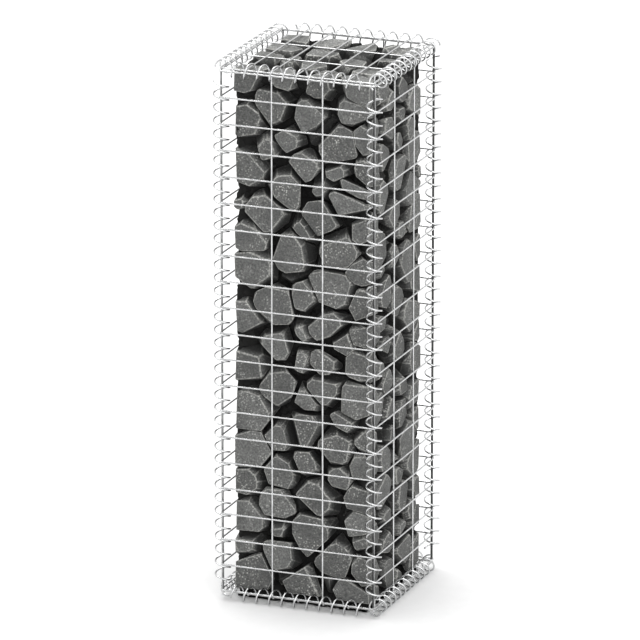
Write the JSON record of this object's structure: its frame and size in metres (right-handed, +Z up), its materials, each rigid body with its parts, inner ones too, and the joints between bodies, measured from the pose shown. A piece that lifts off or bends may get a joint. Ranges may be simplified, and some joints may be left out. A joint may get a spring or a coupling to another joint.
{
  "type": "gabion column",
  "caption": "Square free-standing gabion: welded-wire panels laced along every edge with steel spirals and packed with angular dark stone; sets beside others to run on in bays as a wall.",
  "frame": {"origin": "centre of the footprint on the ground, under the lowest turns of the bottom spirals", "axes": "+Z up along the column, front towards -Y, +X to the right seen from the front"},
  "size_m": [0.3312, 0.3346, 1.0382],
  "materials": {
    "mesh": "bright galvanised, slightly mottled",
    "spiral": "bright galvanised",
    "stone": "dark grey broken basalt, matt with paler edges"
  },
  "bodies": {
    "root": {"front_panel": "mesh", "back_panel": "mesh", "left_panel": "mesh", "right_panel": "mesh", "lid_panel": "mesh", "base_panel": "mesh", "spiral_front_left": "spiral", "spiral_front_right": "spiral", "spiral_back_left": "spiral", "spiral_back_right": "spiral", "spiral_top_front": "spiral", "spiral_top_back": "spiral", "spiral_top_left": "spiral", "spiral_top_right": "spiral", "spiral_bottom_front": "spiral", "spiral_bottom_back": "spiral", "spiral_bottom_left": "spiral", "spiral_bottom_right": "spiral", "stone_fill": "stone"}
  },
  "joints": []
}
